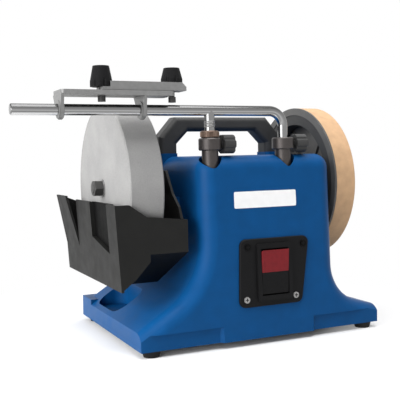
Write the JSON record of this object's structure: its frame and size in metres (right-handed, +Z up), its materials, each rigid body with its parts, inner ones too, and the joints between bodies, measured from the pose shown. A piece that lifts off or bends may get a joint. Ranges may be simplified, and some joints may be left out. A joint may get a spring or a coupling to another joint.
{
  "type": "bench grinder",
  "caption": "Water-cooled bench sharpener with a whetstone in a tray, a leather strop wheel, carry handle, rocker switch and a support bar that carries a sliding straight-edge jig",
  "frame": {"origin": "middle of the whole outline on the floor under the feet", "axes": "+X along the wheel shaft from the whetstone to the strop wheel, +Y from the switch front to the back, +Z up"},
  "size_m": [0.4404, 0.2439, 0.3157],
  "materials": {
    "blue_shell": "fine moulded texture, satin",
    "black_plastic": "fine moulded texture",
    "red_plastic": "smooth",
    "whetstone": "sintered grey grit, dry and rough",
    "leather": "smooth tan hide",
    "rubber": "dull",
    "chrome": "bright plated",
    "steel": "turned",
    "alloy": "cast and machined",
    "iron": "laminated and painted",
    "brass": "knurled, dark"
  },
  "bodies": {
    "machine": {"housing": "blue_shell", "bottom_cover": "steel", "rubber_feet": "rubber", "cover_screws": "steel", "carry_handle": "black_plastic", "handle_screws": "steel", "support_sleeve_left": "steel", "support_sleeve_right": "steel", "switch_plate": "black_plastic", "switch_plate_screws": "steel", "switch_body": "black_plastic", "shaft_bush_left": "black_plastic", "shaft_bush_right": "black_plastic", "motor_can": "iron", "motor_shield_left": "alloy", "motor_shield_right": "alloy", "motor_bearings": "steel", "motor_bracket": "iron", "capacitor": "alloy", "cable_gland": "black_plastic"},
    "wheels": {"main_shaft": "steel", "grinding_stone": "whetstone", "stone_inner_flange": "black_plastic", "stone_washer": "steel", "stone_nut": "steel", "strop_wheel": "black_plastic", "leather_band": "leather", "friction_ring": "rubber", "strop_washer": "steel", "strop_knob": "black_plastic"},
    "motor_rotor": {"rotor": "iron", "motor_spindle": "steel"},
    "tray": {"water_tray": "black_plastic"},
    "support": {"support_bar": "chrome"},
    "adjuster": {"micro_adjust_nut": "brass"},
    "left_lock": {"lock_knob_left": "black_plastic"},
    "right_lock": {"lock_knob_right": "black_plastic"},
    "jig_carrier": {"jig_bushes": "black_plastic"},
    "jig": {"jig_base": "alloy", "jig_bolts": "steel"},
    "jaw": {"jig_clamp": "alloy"},
    "left_jaw_knob": {"jig_knob_left": "black_plastic"},
    "right_jaw_knob": {"jig_knob_right": "black_plastic"},
    "rocker": {"switch_rocker": "red_plastic"}
  },
  "joints": [
    {"name": "wheel_spin", "type": "hinge", "parent": "machine", "child": "wheels", "pos_m": [0.06325, -0.00159, 0.182], "axis": [1, 0, 0], "continuous": true},
    {"name": "motor_spin", "type": "hinge", "parent": "machine", "child": "motor_rotor", "pos_m": [0.06325, -0.00159, 0.1133], "axis": [1, 0, 0], "continuous": true},
    {"name": "tray_slide", "type": "slide", "parent": "machine", "child": "tray", "axis": [0, 0, 1], "range_m": [-0.018, 0]},
    {"name": "support_lift", "type": "slide", "parent": "machine", "child": "support", "axis": [0, 0, 1], "range_m": [0, 0.05]},
    {"name": "adjuster_spin", "type": "hinge", "parent": "support", "child": "adjuster", "pos_m": [0.00175, -0.09559, 0.24], "axis": [0, 0, 1], "continuous": true},
    {"name": "left_lock_turn", "type": "hinge", "parent": "machine", "child": "left_lock", "pos_m": [0.02175, -0.09559, 0.231], "axis": [1, 0, 0], "range_deg": [-90, 180]},
    {"name": "right_lock_turn", "type": "hinge", "parent": "machine", "child": "right_lock", "pos_m": [0.11875, -0.09559, 0.231], "axis": [1, 0, 0], "range_deg": [-90, 180]},
    {"name": "jig_slide", "type": "slide", "parent": "support", "child": "jig_carrier", "axis": [1, 0, 0], "range_m": [-0.038, 0.06]},
    {"name": "jig_tilt", "type": "hinge", "parent": "jig_carrier", "child": "jig", "pos_m": [-0.12375, -0.09559, 0.269], "axis": [1, 0, 0], "range_deg": [-12, 60]},
    {"name": "jaw_lift", "type": "slide", "parent": "jig", "child": "jaw", "axis": [0, 0, 1], "range_m": [0, 0.006]},
    {"name": "left_jaw_knob_turn", "type": "hinge", "parent": "jaw", "child": "left_jaw_knob", "pos_m": [-0.12275, -0.09159, 0.31], "axis": [0, 0, 1], "continuous": true},
    {"name": "right_jaw_knob_turn", "type": "hinge", "parent": "jaw", "child": "right_jaw_knob", "pos_m": [-0.04175, -0.09159, 0.31], "axis": [0, 0, 1], "continuous": true},
    {"name": "rocker_tilt", "type": "hinge", "parent": "machine", "child": "rocker", "pos_m": [0.07075, -0.11249, 0.08291], "axis": [1, 0, 0], "range_deg": [-8, 0]}
  ],
  "couplings": [
    {"joint": "motor_spin", "follows": "wheel_spin", "ratio": 12.5}
  ]
}
